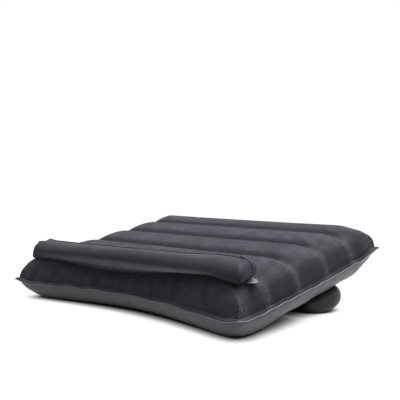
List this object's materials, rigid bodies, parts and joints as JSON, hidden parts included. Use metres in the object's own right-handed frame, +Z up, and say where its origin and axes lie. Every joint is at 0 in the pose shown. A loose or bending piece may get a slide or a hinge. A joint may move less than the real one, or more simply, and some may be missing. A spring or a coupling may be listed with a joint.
{
  "type": "inflatable desk cushion",
  "caption": "Inflatable desk cushion with a sloping flocked top, a curved-in front edge, a wrist rest bar, a rear lifting roll and oral valves.",
  "frame": {"origin": "middle of the base, on the surface that the cushion stands on", "axes": "+Z up, the user sits at -Y, +X to the user's right"},
  "size_m": [0.46, 0.3402, 0.1182],
  "materials": {
    "flocked_sheet": "charcoal flock on a soft plastic sheet",
    "grey_sheet": "smooth grey soft plastic sheet, satin",
    "wrist_sheet": "smooth dark soft plastic sheet, satin",
    "clear_weld_sheet": "milky clear soft plastic sheet, welded down",
    "roll_sheet": "dark soft plastic sheet, satin",
    "rib_web": "grey soft plastic web",
    "valve_moulding": "soft grey moulded plastic"
  },
  "bodies": {
    "desk": {"cushion_top_sheet": "flocked_sheet", "cushion_bottom_sheet": "grey_sheet", "wrist_rest_base_sheet": "clear_weld_sheet", "wrist_rest_front_sheet": "wrist_sheet", "wrist_rest_rear_sheet": "wrist_sheet", "roll_base_sheet": "roll_sheet", "roll_skin": "roll_sheet", "cushion_rib_1": "rib_web", "cushion_rib_2": "rib_web", "cushion_rib_3": "rib_web", "cushion_rib_4": "rib_web", "cushion_valve_collar": "valve_moulding", "wrist_valve_collar": "valve_moulding", "roll_valve_collar": "valve_moulding"},
    "cushion_stem": {"cushion_valve_stem": "valve_moulding"},
    "cushion_plug": {"cushion_valve_plug": "valve_moulding"},
    "cushion_flap": {"cushion_valve_flap": "valve_moulding"},
    "wrist_stem": {"wrist_valve_stem": "valve_moulding"},
    "wrist_plug": {"wrist_valve_plug": "valve_moulding"},
    "wrist_flap": {"wrist_valve_flap": "valve_moulding"},
    "roll_stem": {"roll_valve_stem": "valve_moulding"},
    "roll_plug": {"roll_valve_plug": "valve_moulding"},
    "roll_flap": {"roll_valve_flap": "valve_moulding"}
  },
  "joints": [
    {"name": "cushion_stem_slide", "type": "slide", "parent": "desk", "child": "cushion_stem", "axis": [0, 0.7071, -0.7071], "range_m": [0, 0.008]},
    {"name": "cushion_plug_hinge", "type": "hinge", "parent": "cushion_stem", "child": "cushion_plug", "pos_m": [-0.15, 0.15985, 0.05128], "axis": [1, 0, 0], "range_deg": [0, 150]},
    {"name": "cushion_flap_hinge", "type": "hinge", "parent": "cushion_stem", "child": "cushion_flap", "pos_m": [-0.15, 0.146, 0.06259], "axis": [-1, 0, 0], "range_deg": [0, 60], "stiffness_Nm_per_rad": 0.00005},
    {"name": "wrist_stem_slide", "type": "slide", "parent": "desk", "child": "wrist_stem", "axis": [-1, 0, 0], "range_m": [0, 0.008]},
    {"name": "wrist_plug_hinge", "type": "hinge", "parent": "wrist_stem", "child": "wrist_plug", "pos_m": [-0.21425, -0.134, 0.08699], "axis": [0, 1, 0], "range_deg": [0, 150]},
    {"name": "wrist_flap_hinge", "type": "hinge", "parent": "wrist_stem", "child": "wrist_flap", "pos_m": [-0.19645, -0.134, 0.08519], "axis": [0, -1, 0], "range_deg": [0, 60], "stiffness_Nm_per_rad": 0.00005},
    {"name": "roll_stem_slide", "type": "slide", "parent": "desk", "child": "roll_stem", "axis": [-1, 0, 0], "range_m": [0, 0.008]},
    {"name": "roll_plug_hinge", "type": "hinge", "parent": "roll_stem", "child": "roll_plug", "pos_m": [-0.21607, 0.075, 0.02521], "axis": [0, 1, 0], "range_deg": [0, 150]},
    {"name": "roll_flap_hinge", "type": "hinge", "parent": "roll_stem", "child": "roll_flap", "pos_m": [-0.19827, 0.075, 0.02341], "axis": [0, -1, 0], "range_deg": [0, 60], "stiffness_Nm_per_rad": 0.00005}
  ]
}
